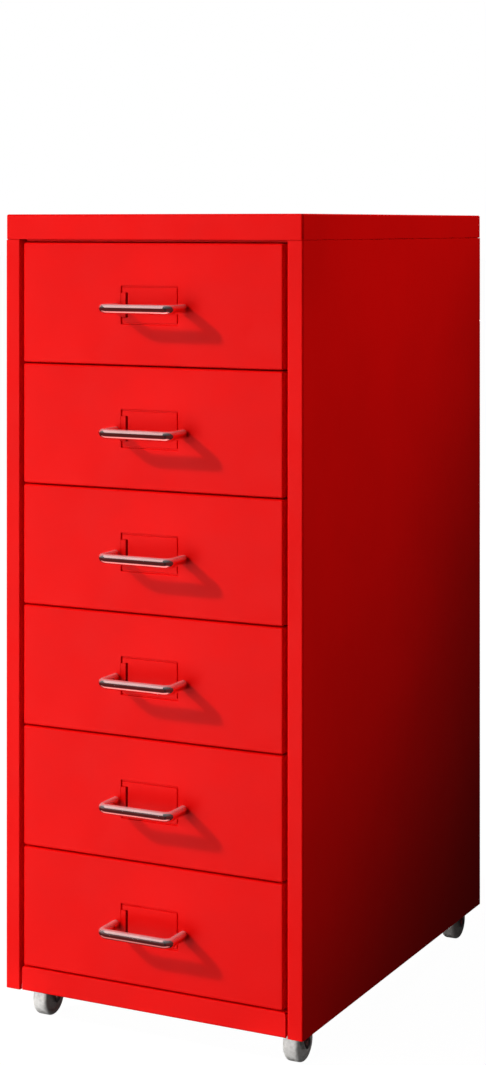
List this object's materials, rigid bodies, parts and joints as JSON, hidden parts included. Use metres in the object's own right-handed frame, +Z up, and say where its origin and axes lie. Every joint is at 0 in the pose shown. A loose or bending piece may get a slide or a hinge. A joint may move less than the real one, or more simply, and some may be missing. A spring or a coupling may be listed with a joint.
{
  "type": "mobile steel drawer cabinet",
  "caption": "Narrow mobile steel cabinet with stacked shallow drawers, bow handles, pressed label holders and swivel castors.",
  "frame": {"origin": "on the floor, under the middle of the outer box with the handles", "axes": "+Z up, the drawers face -Y and slide out along -Y; seen from the front, +X is to the right"},
  "size_m": [0.28, 0.429, 0.69],
  "materials": {
    "red_powder_coat": "satin powder coat",
    "runner_steel": "satin powder coat",
    "handle_chrome": "polished",
    "castor_zinc": "zinc plated",
    "castor_wheel": "light grey moulded"
  },
  "bodies": {
    "carcass": {"side_panel_left": "red_powder_coat", "side_panel_right": "red_powder_coat", "top_cap": "red_powder_coat", "top_rail": "red_powder_coat", "back_panel": "red_powder_coat", "base_pan": "red_powder_coat", "plinth_rail": "red_powder_coat", "runner_left_1": "runner_steel", "runner_left_2": "runner_steel", "runner_left_3": "runner_steel", "runner_left_4": "runner_steel", "runner_left_5": "runner_steel", "runner_left_6": "runner_steel", "runner_right_1": "runner_steel", "runner_right_2": "runner_steel", "runner_right_3": "runner_steel", "runner_right_4": "runner_steel", "runner_right_5": "runner_steel", "runner_right_6": "runner_steel", "castor_mount_front_left": "castor_zinc", "castor_mount_front_right": "castor_zinc", "castor_mount_rear_left": "castor_zinc", "castor_mount_rear_right": "castor_zinc"},
    "drawer_1": {"drawer_front_1": "red_powder_coat", "drawer_tray_1": "red_powder_coat", "drawer_back_1": "red_powder_coat", "drawer_handle_1": "handle_chrome"},
    "drawer_2": {"drawer_front_2": "red_powder_coat", "drawer_tray_2": "red_powder_coat", "drawer_back_2": "red_powder_coat", "drawer_handle_2": "handle_chrome"},
    "drawer_3": {"drawer_front_3": "red_powder_coat", "drawer_tray_3": "red_powder_coat", "drawer_back_3": "red_powder_coat", "drawer_handle_3": "handle_chrome"},
    "drawer_4": {"drawer_front_4": "red_powder_coat", "drawer_tray_4": "red_powder_coat", "drawer_back_4": "red_powder_coat", "drawer_handle_4": "handle_chrome"},
    "drawer_5": {"drawer_front_5": "red_powder_coat", "drawer_tray_5": "red_powder_coat", "drawer_back_5": "red_powder_coat", "drawer_handle_5": "handle_chrome"},
    "drawer_6": {"drawer_front_6": "red_powder_coat", "drawer_tray_6": "red_powder_coat", "drawer_back_6": "red_powder_coat", "drawer_handle_6": "handle_chrome"},
    "fork_front_left": {"castor_fork_front_left": "castor_zinc", "castor_axle_front_left": "castor_zinc"},
    "wheel_front_left": {"castor_wheel_front_left": "castor_wheel"},
    "fork_front_right": {"castor_fork_front_right": "castor_zinc", "castor_axle_front_right": "castor_zinc"},
    "wheel_front_right": {"castor_wheel_front_right": "castor_wheel"},
    "fork_rear_left": {"castor_fork_rear_left": "castor_zinc", "castor_axle_rear_left": "castor_zinc"},
    "wheel_rear_left": {"castor_wheel_rear_left": "castor_wheel"},
    "fork_rear_right": {"castor_fork_rear_right": "castor_zinc", "castor_axle_rear_right": "castor_zinc"},
    "wheel_rear_right": {"castor_wheel_rear_right": "castor_wheel"}
  },
  "joints": [
    {"name": "drawer_slide_1", "type": "slide", "parent": "carcass", "child": "drawer_1", "axis": [0, -1, 0], "range_m": [0, 0.3]},
    {"name": "drawer_slide_2", "type": "slide", "parent": "carcass", "child": "drawer_2", "axis": [0, -1, 0], "range_m": [0, 0.3]},
    {"name": "drawer_slide_3", "type": "slide", "parent": "carcass", "child": "drawer_3", "axis": [0, -1, 0], "range_m": [0, 0.3]},
    {"name": "drawer_slide_4", "type": "slide", "parent": "carcass", "child": "drawer_4", "axis": [0, -1, 0], "range_m": [0, 0.3]},
    {"name": "drawer_slide_5", "type": "slide", "parent": "carcass", "child": "drawer_5", "axis": [0, -1, 0], "range_m": [0, 0.3]},
    {"name": "drawer_slide_6", "type": "slide", "parent": "carcass", "child": "drawer_6", "axis": [0, -1, 0], "range_m": [0, 0.3]},
    {"name": "castor_swivel_front_left", "type": "hinge", "parent": "carcass", "child": "fork_front_left", "pos_m": [-0.119, -0.1605, 0.0381], "axis": [0, 0, 1], "continuous": true},
    {"name": "castor_roll_front_left", "type": "hinge", "parent": "fork_front_left", "child": "wheel_front_left", "pos_m": [-0.119, -0.1505, 0.016], "axis": [1, 0, 0], "continuous": true},
    {"name": "castor_swivel_front_right", "type": "hinge", "parent": "carcass", "child": "fork_front_right", "pos_m": [0.119, -0.1605, 0.0381], "axis": [0, 0, 1], "continuous": true},
    {"name": "castor_roll_front_right", "type": "hinge", "parent": "fork_front_right", "child": "wheel_front_right", "pos_m": [0.119, -0.1505, 0.016], "axis": [1, 0, 0], "continuous": true},
    {"name": "castor_swivel_rear_left", "type": "hinge", "parent": "carcass", "child": "fork_rear_left", "pos_m": [-0.119, 0.1865, 0.0381], "axis": [0, 0, 1], "continuous": true},
    {"name": "castor_roll_rear_left", "type": "hinge", "parent": "fork_rear_left", "child": "wheel_rear_left", "pos_m": [-0.119, 0.1965, 0.016], "axis": [1, 0, 0], "continuous": true},
    {"name": "castor_swivel_rear_right", "type": "hinge", "parent": "carcass", "child": "fork_rear_right", "pos_m": [0.119, 0.1865, 0.0381], "axis": [0, 0, 1], "continuous": true},
    {"name": "castor_roll_rear_right", "type": "hinge", "parent": "fork_rear_right", "child": "wheel_rear_right", "pos_m": [0.119, 0.1965, 0.016], "axis": [1, 0, 0], "continuous": true}
  ]
}
